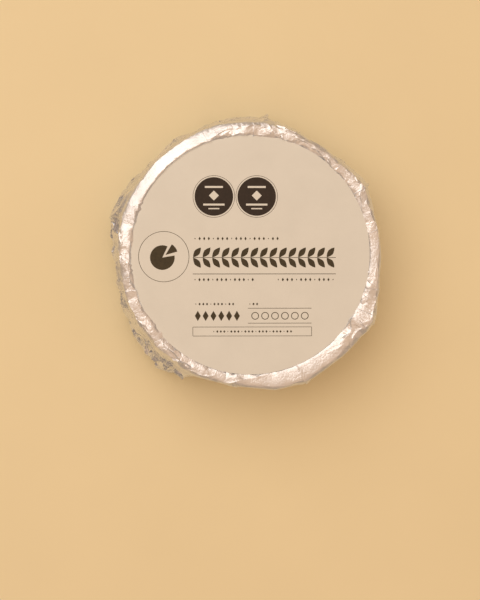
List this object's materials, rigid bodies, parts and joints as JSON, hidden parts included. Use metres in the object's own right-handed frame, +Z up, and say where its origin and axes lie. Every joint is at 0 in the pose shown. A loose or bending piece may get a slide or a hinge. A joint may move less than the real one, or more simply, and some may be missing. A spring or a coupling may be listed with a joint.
{
  "type": "foil-wrapped cheese wheel",
  "caption": "Small round soft-ripened cheese wheel wrapped in crinkled foil, with a round printed paper label lying on its flat top.",
  "frame": {"origin": "under the middle of the wrapped wheel's box, on the surface it stands on", "axes": "+Z up through the wheel, along its shortest side; +Y towards the top of the label's print and +X to the print's right"},
  "size_m": [0.113, 0.1164, 0.0325],
  "materials": {
    "bloomy_rind": "matte",
    "crumpled_foil": "satin",
    "label_paper": "matte",
    "label_ink": "matte"
  },
  "bodies": {
    "root": {"cheese_wheel": "bloomy_rind", "foil_wrap": "crumpled_foil", "paper_label": "label_paper"}
  },
  "joints": []
}
